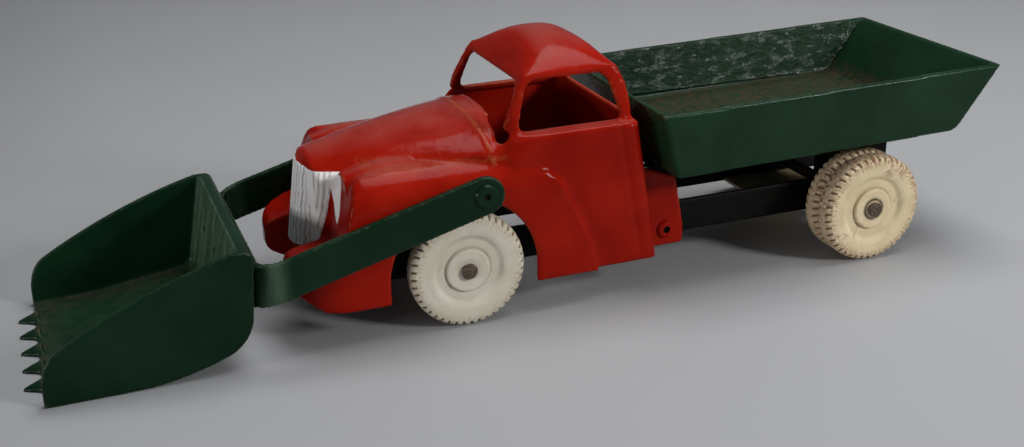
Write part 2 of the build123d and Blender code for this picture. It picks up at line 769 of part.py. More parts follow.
def rear_lug():
    """The left ear that hangs over the rail behind the cab."""
    face = outline([(body_rear_bottom + cab_wall, cab_bottom, 0),
                    (body_rear_bottom + lug_root_length, lug_top + lug_root_rise, 0),
                    (lug_rear + lug_rake, lug_top, lug_corner), (lug_rear, lug_hole_height, lug_elbow),
                    (lug_rear, cab_bottom, lug_corner)])
    return slab(face, rail_outer + running_fit, lug_outer)


def front_lug():
    """A web inside the nose, from under the bonnet down beside the rail."""
    rear, front = front_lug_x - front_lug_length / 2, front_lug_x + front_lug_length / 2
    web = plate_box(rear, front, rail_outer + running_fit, rail_outer + cab_wall, rail_bottom, roof_height)
    return web & (bonnet(0) + fender(0) + plate_box(rear, front, 0, fender_outer, 0, bonnet_side_foot))


def cab():
    """The whole cab as one hollow casting, open below."""
    body = body_block(0)
    corners = [e for e in body.edges().filter_by(Axis.X, reverse=True)
               if abs(e.center().Y) > cab_half_width - hair]
    body = fillet(corners, body_corner)
    belt = [e for e in body.edges().filter_by(Axis.X) if e.center().Z > belt_height - hair]
    body = fillet(belt, belt_corner)
    pod, dish = headlamp()
    solid = body + bonnet(0) + both_sides(fender(0) + pod)
    solid -= body_block(cab_wall) + bonnet(cab_wall) + both_sides(fender(cab_wall))
    open_half = fender_outer - 2 * cab_wall
    solid -= plate_box(body_front - 2 * cab_wall, grille_back, -open_half, open_half, 0,
                       bonnet_side_foot + cab_wall)
    solid += grille()
    arch = cross_rod(arch_centre_x, arch_centre_height, arch_radius, fender_inner, fender_outer + cab_wall)
    arch += plate_box(arch_centre_x - arch_radius, arch_centre_x + arch_radius, fender_inner,
                      fender_outer + cab_wall, 0, arch_centre_height)
    solid -= both_sides(arch)
    solid -= both_sides(dish)
    between_rails = rail_outer + running_fit
    solid -= plate_box(rail_rear, body_rear_top, -between_rails, between_rails, 0, rail_top + body_gap)
    solid -= inside_of_glasshouse()
    solid += windowed_glasshouse()
    ears = rear_lug() + front_lug() + pivot_boss()
    solid += both_sides(ears)
    bores = [(pivot_x, arm_axis_height, pivot_shank_radius)]
    bores += [(x, z, rivet_radius) for x, z in cab_pin_places()]
    for x, z, radius in bores:
        solid -= cross_rod(x, z, radius + running_fit, -fender_outer, fender_outer)
    solid -= both_sides(door_seam())
    return solid


def door_seam():
    """A shallow raked groove behind the left door."""
    half = seam_width / 2
    top = belt_height - belt_corner
    groove = outline([(door_rear_top - half, top, 0), (door_rear_top + half, top, 0),
                      (door_rear_bottom + half, door_foot, 0), (door_rear_bottom - half, door_foot, 0)])
    return slab(groove, cab_half_width - seam_depth, cab_half_width + seam_depth)


def inside_of_glasshouse():
    """The open well between the cab's waist and the hollow below it."""
    half = glasshouse_half_base - cab_wall
    return plate_box(rear_pillar_foot + cab_wall, windscreen_foot - cab_wall, -half, half,
                     belt_height - 2 * cab_wall, belt_height + cab_wall)


def windowed_glasshouse():
    """Roof and pillars with the windscreen, side and rear windows cut through."""
    length = windscreen_foot + windscreen_bow - rear_pillar_foot
    house = glasshouse(0) - glasshouse(cab_wall)
    house -= Pos(rear_pillar_foot - cab_wall, 0, 0) * plate_box(
        0, length + 2 * cab_wall, -cab_half_width, cab_half_width, 0, belt_height)
    sill, head = belt_height - belt_corner, roof_height - windscreen_opening_drop
    screen = outline([(-windscreen_half_foot, sill, 0), (-windscreen_half_head, head, windscreen_corner),
                      (windscreen_half_head, head, windscreen_corner), (windscreen_half_foot, sill, 0)])
    house -= extrude(across(screen, roof_crest), amount=length, dir=(1, 0, 0))
    sill, head = rear_window_sill, roof_height - rear_window_head_drop
    half_foot, half_head = rear_window_half, rear_window_half - rear_window_taper
    rear = outline([(-half_foot, sill, rear_window_sill_corner), (-half_head, head, rear_window_head_corner),
                    (half_head, head, rear_window_head_corner), (half_foot, sill, rear_window_sill_corner)])
    house -= extrude(across(rear, roof_crest), amount=length, dir=(-1, 0, 0))
    sill, head = side_window_sill, roof_height - side_window_head_drop
    side = outline([(side_window_foot_front, sill, side_window_sill_corner),
                    (side_window_head_front, head, side_window_front_corner),
                    (side_window_head_rear, head, side_window_rear_corner),
                    (side_window_foot_rear, sill, side_window_sill_corner)])
    return house - slab(side, -cab_half_width, cab_half_width)


def pivot_boss():
    """A boss inside the fender round the loader's pivot rivet."""
    return cross_rod(pivot_x, arm_axis_height, pivot_boss_radius, fender_outer - cab_wall - pivot_boss_length,
                     fender_outer - cab_wall / 2)


def cab_pins():
    """The pins that hold the cab's rear ears to the rails."""
    outer = lug_outer - rivet_head_height
    pins = [cross_rod(x, z, rivet_radius, rail_inner, outer) for x, z in cab_pin_places()]
    return pins + [mirrored(p) for p in pins]


# ---- the pieces ---------------------------------------------------------------------------------
def mirrored(shape):
    """The right-hand copy of a left-hand piece."""
    return mirror(shape, about=Plane.XZ)


def wheel_at(x, y):
    """A wheel on its axle, its middle at a place along and across the truck."""
    return Pos(x, y, axle_height) * wheel()


def chassis_pieces():
    """Rails, plates, brackets, the tray's rest and their rivets."""
    left_rail, left_bracket = rail(), hinge_bracket()
    rivets = []
    for x, z in rail_rivet_places():
        one = rivet(x, z, rail_inner - bracket_thickness, rail_outer)
        rivets += [one, mirrored(one)]
    return {"chassis_rail_left": left_rail, "chassis_rail_right": mirrored(left_rail),
            "cross_plate": floor_plate(cross_plate_front, cross_plate_length),
            "nose_plate": floor_plate(nose_plate_front, nose_plate_length),
            "hinge_bracket_left": left_bracket, "hinge_bracket_right": mirrored(left_bracket),
            "tray_rest": tray_rest(), "tray_hinge_pin": hinge_pin(),
            "chassis_rivets": Compound([r.solid() for r in rivets])}


def loader_pieces():
    """The loader and the two rivets that it turns on."""
    left_rivet = pivot_rivet()
    return {"loader_yoke": yoke(), "bucket": bucket(), "bucket_rivets": bucket_rivets(),
            "pivot_rivet_left": left_rivet, "pivot_rivet_right": mirrored(left_rivet)}


def running_gear():
    """Both axles with their spacer tubes and six wheels."""
    pieces = {}
    front_hub = front_track_outer - wheel_width - body_gap
    rear_hub = rear_track_outer - 2 * wheel_width - 2 * body_gap
    for end, x, outer, hub in (("front", 0, front_track_outer, front_hub),
                               ("rear", rear_axle_x, rear_track_outer, rear_hub)):
        tube = Pos(x, 0, axle_height) * spacer(rail_outer, hub)
        pieces[end + "_spacer_left"], pieces[end + "_spacer_right"] = tube, mirrored(tube)
        pieces[end + "_axle"] = Pos(x, 0, axle_height) * axle(outer + body_gap)
    front_y = front_track_outer - wheel_width / 2
    outer_y = rear_track_outer - wheel_width / 2
    inner_y = outer_y - wheel_width - body_gap
    for side, sign in (("left", 1), ("right", -1)):
        pieces["front_wheel_" + side] = wheel_at(0, sign * front_y)
        pieces["rear_outer_wheel_" + side] = wheel_at(rear_axle_x, sign * outer_y)
        pieces["rear_inner_wheel_" + side] = wheel_at(rear_axle_x, sign * inner_y)
    return pieces


def build():
    """Every piece by name, laid out from the front axle."""
    cab_parts = {"cab_casting": cab(), "cab_pins": Compound([p.solid() for p in cab_pins()])}
    return cab_parts | {"tray": tray()} | chassis_pieces() | loader_pieces() | running_gear()


if __name__ == "__main__":
    os.makedirs("parts", exist_ok=True)
    for name, shape in build().items():
        export_step(Pos(-middle_x, 0, 0) * shape, f"parts/{name}.step")
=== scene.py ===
# %% [markdown]
# # A cast toy truck with an overshot front loader
# The solids of the truck come ready packed: every casting, bar, rivet and wheel is a node of its own.
# This lesson dresses them.  The castings get soft, sand-cast edges, the rubber wheels get their notched
# treads, the paint gets its wear, and a small studio is put round the toy.
# Lengths are in metres, +X runs forward to the bucket's teeth, +Y to the driver's left and +Z up.

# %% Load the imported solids
import json
import math

import bmesh
import bpy
import numpy as np
from mathutils import Matrix, Vector


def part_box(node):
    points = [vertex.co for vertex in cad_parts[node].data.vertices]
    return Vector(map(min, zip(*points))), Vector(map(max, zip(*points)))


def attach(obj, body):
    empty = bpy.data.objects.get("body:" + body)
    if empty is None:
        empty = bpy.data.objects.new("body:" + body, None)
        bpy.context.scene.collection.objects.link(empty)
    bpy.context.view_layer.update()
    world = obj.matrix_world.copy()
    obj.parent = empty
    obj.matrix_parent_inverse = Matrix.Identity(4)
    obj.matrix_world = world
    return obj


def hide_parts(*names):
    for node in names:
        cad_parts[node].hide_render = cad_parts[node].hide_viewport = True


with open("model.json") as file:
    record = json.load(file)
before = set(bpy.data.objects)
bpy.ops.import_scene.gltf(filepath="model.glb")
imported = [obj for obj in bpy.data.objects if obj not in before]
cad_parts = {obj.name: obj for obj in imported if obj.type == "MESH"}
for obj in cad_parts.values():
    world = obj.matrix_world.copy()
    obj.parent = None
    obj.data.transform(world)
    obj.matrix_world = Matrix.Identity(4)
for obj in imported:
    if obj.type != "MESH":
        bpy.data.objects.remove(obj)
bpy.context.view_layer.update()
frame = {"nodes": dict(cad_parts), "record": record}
nodes = frame["nodes"]
mm = 0.001
axle_low, axle_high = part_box("front_axle")
front_axle_x = (axle_low[0] + axle_high[0]) / 2

# %% [markdown]
# ## Small helpers
# A node of the imported model is a bag of loose triangles.  A copy of it is welded before anything is done
# to it, and the copy then stands for the node.  Every new piece is named, rides on the body of the node
# it stands for, and takes the finish it is given, mostly the one made for that node's material slot.
# Meshes are read and written as whole arrays, one row for each vertex, which is quick and keeps the
# formulas short.

# %% Helpers for pieces
body_of_node = {}
for body, members in frame["record"]["behaviour"]["bodies"].items():
    for member in members:
        body_of_node[member] = body
slot_of_node = {row["node"]: row["material_slot"] for row in frame["record"]["subparts"]}


def add_piece(name, mesh):
    """Links a mesh as a new object at the origin."""
    piece = bpy.data.objects.new(name, mesh)
    bpy.context.scene.collection.objects.link(piece)
    return piece


def stand_for(piece, node, material):
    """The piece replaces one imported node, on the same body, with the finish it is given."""
    piece.data.materials.clear()
    piece.data.materials.append(material)
    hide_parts(node)
    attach(piece, body_of_node[node])


def vertices_of(mesh):
    """The place of every vertex, one row each."""
    places = np.empty(len(mesh.vertices) * 3)
    mesh.vertices.foreach_get("co", places)
    return places.reshape(-1, 3)


def normals_of(mesh):
    """The outward direction at every vertex, one row each."""
    normals = np.empty(3 * len(mesh.vertices))
    mesh.vertices.foreach_get("normal", normals)
    return normals.reshape(-1, 3)


def put_vertices(mesh, places):
    """Moves every vertex to its row of the array."""
    mesh.vertices.foreach_set("co", places.ravel())
    mesh.update()


def paint(mesh, name, values):
    """Keeps a number from 0 to 1 for each vertex, which a finish can read by its name."""
    layer = mesh.attributes.new(name, "FLOAT", "POINT")
    layer.data.foreach_set("value", np.clip(values, 0, 1).ravel().astype(np.float32))


def smooth_shaded(mesh):
    """Shades every face of a mesh as part of one round surface."""
    mesh.polygons.foreach_set("use_smooth", np.ones(len(mesh.polygons), dtype=bool))
    mesh.update()


def grid_mesh(name, places, close_rows, close_columns):
    """A mesh of quads over a grid of places (rows, columns, 3); either way round may be closed."""
    rows, columns = places.shape[:2]
    row = np.arange(rows if close_rows else rows - 1)
    column = np.arange(columns if close_columns else columns - 1)
    r, c = np.meshgrid(row, column, indexing="ij")
    r2, c2 = (r + 1) % rows, (c + 1) % columns
    corners = (r * columns + c, r * columns + c2, r2 * columns + c2, r2 * columns + c)
    quads = np.stack(corners, axis=-1)
    mesh = bpy.data.meshes.new(name)
    mesh.from_pydata(places.reshape(-1, 3).tolist(), [], quads.reshape(-1, 4).tolist())
    smooth_shaded(mesh)
    return mesh


print("helpers ready for", len(body_of_node), "nodes")

# %% [markdown]
# ## How a finish is made
# Each finish is a small recipe of noise on Object coordinates, so it needs no unwrapping and has no seams.
# A slow noise shifts the colour, a finer one changes the roughness, and both give the bump of enamel
# over a sand casting.  Wear is not left to chance: a number painted on the vertices, such as "worn" or the
# wheels' dirt, says where it belongs, and the noise only breaks up its edge.  Numbers painted the same way
# place a painted sheen and painted shade in holes.

# %% Helpers for finishes
def recipe(name, metallic=0.0, specular=0.5):
    """An empty finish: its material and its Principled shader."""
    material = bpy.data.materials.new(name)
    material.use_nodes = True
    shader = material.node_tree.nodes["Principled BSDF"]
    shader.inputs["Metallic"].default_value = metallic
    shader.inputs["Specular IOR Level"].default_value = specular
    return material, shader


def add_node(material, kind, **inputs):
    """A node of one kind, with plain values for some of its inputs."""
    node = material.node_tree.nodes.new(kind)
    for key, value in inputs.items():
        node.inputs[key.replace("_", " ")].default_value = value
    return node


def wire(material, source, target):
    """Joins an output socket to an input socket."""
    material.node_tree.links.new(source, target)


def object_noise(material, scale, detail=4.0, roughness=0.55, distortion=0.0, squeeze=(1.0, 1.0, 1.0)):
    """Noise on Object coordinates; the scale is in lumps per metre, and a squeeze below 1 draws it out."""
    where = material.node_tree.nodes.new("ShaderNodeTexCoord")
    noise = add_node(material, "ShaderNodeTexNoise", Scale=scale, Detail=detail, Roughness=roughness,
                     Distortion=distortion)
    mapping = add_node(material, "ShaderNodeMapping", Scale=squeeze)
    wire(material, where.outputs["Object"], mapping.inputs["Vector"])
    wire(material, mapping.outputs["Vector"], noise.inputs["Vector"])
    return noise.outputs["Fac"]


def band(material, value, low, high, out_low=0.0, out_high=1.0):
    """Maps a value from one range to another, clamped."""
    node = add_node(material, "ShaderNodeMapRange")
    node.inputs["From Min"].default_value = low
    node.inputs["From Max"].default_value = high
    node.inputs["To Min"].default_value = out_low
    node.inputs["To Max"].default_value = out_high
    wire(material, value, node.inputs["Value"])
    return node.outputs["Result"]


def blend(material, amount, first, second):
    """Mixes two colours, each a tuple or a socket, by an amount."""
    node = material.node_tree.nodes.new("ShaderNodeMix")
    node.data_type = "RGBA"
    wire(material, amount, node.inputs["Factor"])
    for socket, value in ((node.inputs[6], first), (node.inputs[7], second)):
        if isinstance(value, tuple):
            socket.default_value = value + (1.0,)
        else:
            wire(material, value, socket)
    return node.outputs[2]


def combine(material, operation, first, second):
    """Two values, each a number or a socket, through one Math node, held between 0 and 1."""
    node = material.node_tree.nodes.new("ShaderNodeMath")
    node.operation = operation
    node.use_clamp = True
    for socket, value in zip(node.inputs, (first, second)):
        if isinstance(value, (int, float)):
            socket.default_value = value
        else:
            wire(material, value, socket)
    return node.outputs[0]


def product(material, first, second):
    """Two values multiplied."""
    return combine(material, "MULTIPLY", first, second)


def total(material, first, second):
    """Two values added."""
    return combine(material, "ADD", first, second)


def painted_value(material, name):
    """A number painted on the vertices of a piece."""
    node = material.node_tree.nodes.new("ShaderNodeAttribute")
    node.attribute_name = name
    return node.outputs["Fac"]


def broken_up(material, name, noise, low, high):
    """A painted number that only shows where the noise is above a soft threshold."""
    return product(material, painted_value(material, name), band(material, noise, low, high))


def bumped(material, shader, height, distance):
    """Tilts the shading by a height from 0 to 1 that stands for a distance in metres."""
    node = add_node(material, "ShaderNodeBump", Strength=1.0, Distance=distance)
    wire(material, height, node.inputs["Height"])
    wire(material, node.outputs["Normal"], shader.inputs["Normal"])


finishes = {}
print("finish helpers ready for the slots", ", ".join(sorted(set(slot_of_node.values()))))

# %% [markdown]
# ## Red enamel
# The cab was dipped in thick red enamel.  It is painted paler where it faces up, a painted sheen, rubbed
# to a tan undercoat on its crests, and brushed with aluminium paint on the grille and its cheeks.  All of
# it is one finish, because the paints lie on one casting: painted numbers say where each of them shows.

# %% Red enamel
def red_enamel():
    """Red in slow patches; painted sheen on top, wear, silver, dark furrows and painted hole shade where
    painted.
    """
    deep_red, bright_red = (0.26, 0.006, 0.002), (0.355, 0.012, 0.004)
    painted_sheen_red, tan_undercoat = (0.32, 0.045, 0.035), (0.38, 0.12, 0.04)
    aluminium, furrow_dark, painted_hole_shade = (0.88, 0.86, 0.84), (0.16, 0.11, 0.10), (0.006, 0.003, 0.002)
    material, shader = recipe("red enamel", specular=0.06)
    slow = object_noise(material, 45.0)
    fine = object_noise(material, 420.0)
    colour = blend(material, band(material, slow, 0.35, 0.7), deep_red, bright_red)
    # Painted sheen: the faces that look up are painted paler.
    colour = blend(material, broken_up(material, "painted_top_sheen", slow, 0.25, 0.6), colour, painted_sheen_red)
    worn = broken_up(material, "worn", fine, 0.36, 0.60)
    colour = blend(material, worn, colour, tan_undercoat)
    silvered = band(material, painted_value(material, "silver"), 0.44, 0.56)
    colour = blend(material, silvered, colour, aluminium)
    # Dark furrow lines on the cheeks, in the colour only.
    colour = blend(material, painted_value(material, "furrow"), colour, furrow_dark)
    # Painted shade: the insides of the holes are painted nearly black.
    colour = blend(material, painted_value(material, "hole"), colour, painted_hole_shade)
    wire(material, colour, shader.inputs["Base Color"])
    rough = total(material, band(material, slow, 0.3, 0.7, 0.08, 0.15), product(material, worn, 0.25))
    wire(material, rough, shader.inputs["Roughness"])
    height = total(material, product(material, slow, 0.7), product(material, fine, 0.12))
    bumped(material, shader, height, 0.8 * mm)
    return material


finishes["red_paint"] = red_enamel()
print("red enamel has", len(finishes["red_paint"].node_tree.nodes), "nodes")

# %% [markdown]
# ## Silver paint over the ribs
# The grille's ribs carry the same aluminium paint, thick and bright on their backs, and darker in the
# grooves between them.  The darkening is painted from the ribs' own formula, so it always lies in the
# grooves.

# %% Silver paint over the ribs
def silver_paint():
    """Aluminium in fine patches, darker where the number for dirt and dark grooves is painted."""
    grey_silver, bright_silver, groove_dark = (0.80, 0.77, 0.75), (0.95, 0.94, 0.93), (0.12, 0.085, 0.075)
    material, shader = recipe("silver paint")
    fine = object_noise(material, 700.0)
    colour = blend(material, band(material, fine, 0.35, 0.65), grey_silver, bright_silver)
    # Darker in the grooves between the ribs.
    colour = blend(material, broken_up(material, "dirt_and_dark_grooves", fine, 0.25, 0.45), colour, groove_dark)
    wire(material, colour, shader.inputs["Base Color"])
    wire(material, band(material, fine, 0.3, 0.7, 0.28, 0.45), shader.inputs["Roughness"])
    bumped(material, shader, fine, 0.3 * mm)
    return material


silver = silver_paint()
print("silver paint has", len(silver.node_tree.nodes), "nodes")

# %% [markdown]
# ## Green enamel
# The tray, the arms and the bucket are dark green.  Loads have rubbed the floors brown, the edges are
# scuffed, and the tray's inner walls are as rough as the sand they were cast in, with small facets that
# catch the light.  One recipe makes both greens, which differ in colour, in chips and in depth of bump.

# %% Green enamel
def green_enamel(name, dark, light, chip, chips_above, bump):
    """Green in slow patches with small pale chips; the painted numbers bring rubbed floors, worn edges,
    holes painted dark as shade, streaks of painted sheen that run down a wall, and coarse lumps with glossy
    facets."""
    rubbed_brown, bare_edge, painted_sheen_green = (0.043, 0.034, 0.019), (0.13, 0.125, 0.075), (0.13, 0.21, 0.135)
    painted_hole_shade = (0.002, 0.002, 0.002)
    material, shader = recipe(name)
    slow = object_noise(material, 30.0)
    fine = object_noise(material, 300.0, detail=6.0)
    chips = object_noise(material, 900.0, detail=2.0)
    colour = blend(material, band(material, slow, 0.35, 0.7), dark, light)
    colour = blend(material, band(material, chips, chips_above, chips_above + 0.04), colour, chip)
    colour = blend(material, broken_up(material, "rubbed", fine, 0.35, 0.62), colour, rubbed_brown)
    colour = blend(material, broken_up(material, "worn", fine, 0.42, 0.60), colour, bare_edge)
    # Painted shade: the insides of the holes are painted nearly black.
    colour = blend(material, painted_value(material, "hole"), colour, painted_hole_shade)
    # Painted sheen: pale streaks drawn out up and down a wall.
    sheen_streak = object_noise(material, 130.0, squeeze=(1.0, 1.0, 0.15))
    pale = product(material, painted_value(material, "pale"), band(material, sheen_streak, 0.35, 0.62, 0.3, 1.0))
    colour = blend(material, pale, colour, painted_sheen_green)
    wire(material, colour, shader.inputs["Base Color"])

    rubbed = product(material, painted_value(material, "rubbed"), 0.25)
    rough = total(material, band(material, fine, 0.3, 0.7, 0.18, 0.32), rubbed)
    wire(material, rough, shader.inputs["Roughness"])

    coarse = painted_value(material, "coarse")
    height = total(material, product(material, slow, 0.5), product(material, fine, 0.30))
    lumps = product(material, coarse, object_noise(material, 150.0, 7.0, 0.7, squeeze=(0.45, 1.0, 1.0)))
    bumped(material, shader, total(material, product(material, height, 0.3), lumps), bump)
    facets = object_noise(material, 210.0, 5.0, 0.6, squeeze=(0.5, 1.0, 1.0))
    gloss = product(material, coarse, band(material, facets, 0.50, 0.62, 0.05, 0.95))
    wire(material, total(material, gloss, 0.11), shader.inputs["Specular IOR Level"])
    return material


finishes["tray_paint"] = green_enamel("tray green", (0.006, 0.026, 0.011), (0.011, 0.040, 0.018),
                                      (0.12, 0.13, 0.10), 0.76, 2.2 * mm)
finishes["loader_paint"] = green_enamel("loader green", (0.004, 0.020, 0.009), (0.008, 0.032, 0.015),
                                        (0.10, 0.12, 0.09), 0.78, 1.4 * mm)
print("green enamels:", finishes["tray_paint"].name, "and", finishes["loader_paint"].name)

# %% [markdown]
# ## Black enamel and bare steels
# The rails are black strip, the plate between them is bare and tan, and the axles and rivets are dull,
# a little rusty steel.  They are small or in the shade, so one plain recipe of two colours does for all.

# %% Black enamel and bare steels
def plain_metal(name, first, second, metallic, roughness, grain=260.0, specular=0.3):
    """Two colours in patches, with matching changes of gloss; the grain is in lumps per metre."""
    material, shader = recipe(name, metallic=metallic, specular=specular)
    patch = object_noise(material, grain, detail=5.0, distortion=0.3)
    colour = blend(material, band(material, patch, 0.35, 0.65), first, second)
    wire(material, colour, shader.inputs["Base Color"])
    wire(material, band(material, patch, 0.3, 0.7, *roughness), shader.inputs["Roughness"])
    bumped(material, shader, patch, 0.2 * mm)
    return material


finishes["black_paint"] = plain_metal("black enamel", (0.002, 0.002, 0.002), (0.005, 0.005, 0.004), 0.0,
                                      (0.40, 0.6), specular=0.1)
finishes["bare_plate"] = plain_metal("bare tan plate", (0.52, 0.38, 0.18), (0.74, 0.60, 0.36), 0.0,
                                     (0.4, 0.6))
finishes["axle_steel"] = plain_metal("rusty axle", (0.05, 0.035, 0.025), (0.17, 0.13, 0.10), 0.4,
                                     (0.45, 0.7), grain=700.0)
finishes["rivet_steel"] = plain_metal("dull steel", (0.10, 0.10, 0.09), (0.22, 0.21, 0.19), 0.7,
                                      (0.4, 0.6), grain=700.0)
print("metals ready, finishes so far:", len(finishes))

# %% [markdown]
# ## White rubber
# The tyres are white rubber that has yellowed with age, the rear ones more than the front ones.  Dirt
# sits in the notches, and a brown wash lies in patches over the rim.  Both come from painted numbers, and
# stains come from the noise alone.

# %% White rubber
def white_rubber(name, dark, light, stain, stain_above):
    """Rubber in slow patches, stained where the noise is high, with painted dirt and a painted wash."""
    notch_dirt = (0.050, 0.026, 0.009)
    material, shader = recipe(name, specular=0.3)
    slow = object_noise(material, 75.0, detail=6.0)
    fine = object_noise(material, 500.0)
    colour = blend(material, band(material, slow, 0.35, 0.7), dark, light)
    patches = product(material, band(material, slow, stain_above, stain_above + 0.10),
                      band(material, fine, 0.35, 0.60))
    colour = blend(material, product(material, patches, 0.7), colour, stain)
    colour = blend(material, broken_up(material, "dirt_and_dark_grooves", fine, 0.22, 0.42), colour, notch_dirt)
    colour = blend(material, broken_up(material, "wash", fine, 0.38, 0.52), colour, stain)
    wire(material, colour, shader.inputs["Base Color"])
    wire(material, band(material, slow, 0.3, 0.7, 0.40, 0.58), shader.inputs["Roughness"])
    height = total(material, product(material, slow, 0.5), product(material, fine, 0.3))
    bumped(material, shader, height, 0.5 * mm)
    return material


finishes["white_rubber"] = white_rubber("white rubber", (0.66, 0.60, 0.46), (0.74, 0.70, 0.58),
                                        (0.34, 0.23, 0.11), 0.68)
old_rubber = white_rubber("older rubber", (0.72, 0.58, 0.36), (0.90, 0.76, 0.50), (0.34, 0.165, 0.095), 0.56)

for name, node in nodes.items():
    node.data.materials.clear()
    node.data.materials.append(finishes[slot_of_node[name]])
print("finishes:", ", ".join(finishes))

# %% [markdown]
# ## Soft castings
# A sand casting has no sharp corners.  Bevels would trip over the many small faces where fender, door and
# bonnet meet, so the welded copy of a node is rebuilt by a voxel Remesh instead and then smoothed a little.
# That rounds every corner by about a millimetre and pulls the surface inward, never outward.  The result
# is kept as a plain mesh, so that numbers can be painted on its vertices.

# %% Softening
def softened(node, voxel, rounds):
    """A welded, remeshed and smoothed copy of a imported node; voxel in metres."""
    mesh = nodes[node].data.copy()
    work = bmesh.new()
    work.from_mesh(mesh)
    bmesh.ops.remove_doubles(work, verts=work.verts, dist=0.002 * mm)
    work.to_mesh(mesh)
    work.free()
    piece = add_piece(node + "_soft", mesh)
    remesh = piece.modifiers.new("cast skin", "REMESH")
    remesh.mode = "VOXEL"
    remesh.voxel_size = voxel
    remesh.use_smooth_shade = True
    soften = piece.modifiers.new("rounded corners", "SMOOTH")
    soften.iterations = rounds
    soften.factor = 0.5
    graph = bpy.context.evaluated_depsgraph_get()
    made = bpy.data.meshes.new_from_object(piece.evaluated_get(graph))
    piece.modifiers.clear()
    piece.data = made
    smooth_shaded(made)
    stand_for(piece, node, finishes[slot_of_node[node]])
    print(piece.name, "has", len(made.polygons), "faces")
    return piece


cab = softened("cab_casting", 1.12 * mm, 4)
tray = softened("tray", 1.1 * mm, 4)
bucket = softened("bucket", 0.8 * mm, 3)
yoke = softened("loader_yoke", 0.8 * mm, 3)
for end in ("left", "right"):
    softened("chassis_rail_" + end, 0.8 * mm, 2)

# %% [markdown]
# ## Weights that fade
# The castings are shaped and painted by weights: numbers from 0 to 1 that rise and fall softly with the
# place, so that no change ends in a hard edge.  Places are read in layout millimetres, with x measured
# from the front axle.

# %% Ramps, bells and places
def ramp(values, low, high):
    """0 up to the low mark, 1 from the high mark on."""
    return np.clip((values - low) / (high - low), 0, 1)


def bell(values, middle, width):
    """1 at the middle, falling off on both sides as a bell of that width."""
    return np.exp(-((values - middle) / width) ** 2)


def least(*values):
    """The smallest of several signed distances, positive inside all of them."""
    return np.minimum.reduce(np.broadcast_arrays(*values))


def layout(piece):
    """The vertices in layout millimetres: forward, across and up."""
    places = vertices_of(piece.data) / mm
    return places[:, 0] - front_axle_x / mm, places[:, 1], places[:, 2]


x, y, z = layout(cab)
print("the cab runs from x", round(x.min(), 1), "to", round(x.max(), 1), "mm")

# %% [markdown]
# ## Neighbours on a mesh
# Two tools follow the edges of a mesh.  The first eases a stretch of the surface by drawing each vertex
# towards the middle of its neighbours.  The second finds the crests, where paint wears off: for every
# edge, the turn of the surface from one end to the other is divided by the edge's length, and the mean
# over a vertex's edges is positive on a crest, about nothing on a flat, and negative in a corner.

# %% Easing and crests
def edge_ends(mesh):
    """The two ends of every edge, and how many edges meet at each vertex."""
    ends = np.empty(2 * len(mesh.edges), dtype=np.int32)
    mesh.edges.foreach_get("vertices", ends)
    first, second = ends.reshape(-1, 2).T
    return first, second, np.maximum(np.bincount(ends, minlength=len(mesh.vertices)), 1)


def neighbour_mean(values, first, second, count):
    """The mean over the vertices at the far ends of each vertex's edges."""
    total_over = np.bincount(first, values[second], len(count))
    total_over = total_over + np.bincount(second, values[first], len(count))
    return total_over / count


def eased(piece, weight, rounds, push_back=0.0):
    """Draws each vertex towards the middle of its neighbours by its weight, round after round; a push
    back after each round keeps thin parts from shrinking."""
    first, second, count = edge_ends(piece.data)
    places = vertices_of(piece.data)
    shares = (1.0, -push_back) if push_back else (1.0,)
    for _ in range(rounds):
        for share in shares:
            middle = np.stack([neighbour_mean(column, first, second, count) for column in places.T], axis=1)
            places += share * weight[:, None] * (middle - places)
    put_vertices(piece.data, places)


def crests(mesh):
    """Outward bend at each vertex in radians per millimetre, evened out over the neighbours."""
    places, normals = vertices_of(mesh) / mm, normals_of(mesh)
    first, second, count = edge_ends(mesh)
    along = places[second] - places[first]
    bend = ((normals[second] - normals[first]) * along).sum(1) / np.maximum((along ** 2).sum(1), 1e-9)
    bend = (np.bincount(first, bend, len(places)) + np.bincount(second, bend, len(places))) / count
    for _ in range(3):
        bend = (bend + neighbour_mean(bend, first, second, count)) / 2
    return bend


print("the cab's mesh has", len(edge_ends(cab.data)[0]), "edges")

# %% [markdown]
# ## Shaping the cab
# A cast cab has hardly a straight line.  The lamp pods narrow towards the front by a fifth of their
# radius and drop by a millimetre, so that they end in a blunt nose.  The step between bonnet and door,
# the feet of the pillars, the roof and the top of the nose are eased, and the pillar feet are pushed back
# each round so that they stay thick.  Moving the vertices that are there keeps the casting in one piece,
# where new solids would leave seams.

# %% Lamp noses and eased steps
lamp_side, lamp_height = 30.5, 69.5
lamp_root, lamp_nose = 36.0, 53.0
lamp_radius, lamp_surround = 13.2, 15.5
lamp_taper, lamp_droop = 0.20, 1.0
pod_bottom, pod_inner_side = 56, 17.5
door_front, pillar_front = -24.0, -28.0

x, y, z = layout(cab)
side = np.abs(y)
from_lamp = np.hypot(side - lamp_side, z - lamp_height)
pinch = ramp(x, lamp_root, lamp_nose) * (1 - ramp(from_lamp, lamp_radius, lamp_surround))
pinch = pinch * (z > pod_bottom) * (side > pod_inner_side)
places = vertices_of(cab.data)
places[:, 1] -= np.sign(y) * (side - lamp_side) * lamp_taper * pinch * mm
places[:, 2] -= ((z - lamp_height) * lamp_taper + lamp_droop) * pinch * mm
put_vertices(cab.data, places)

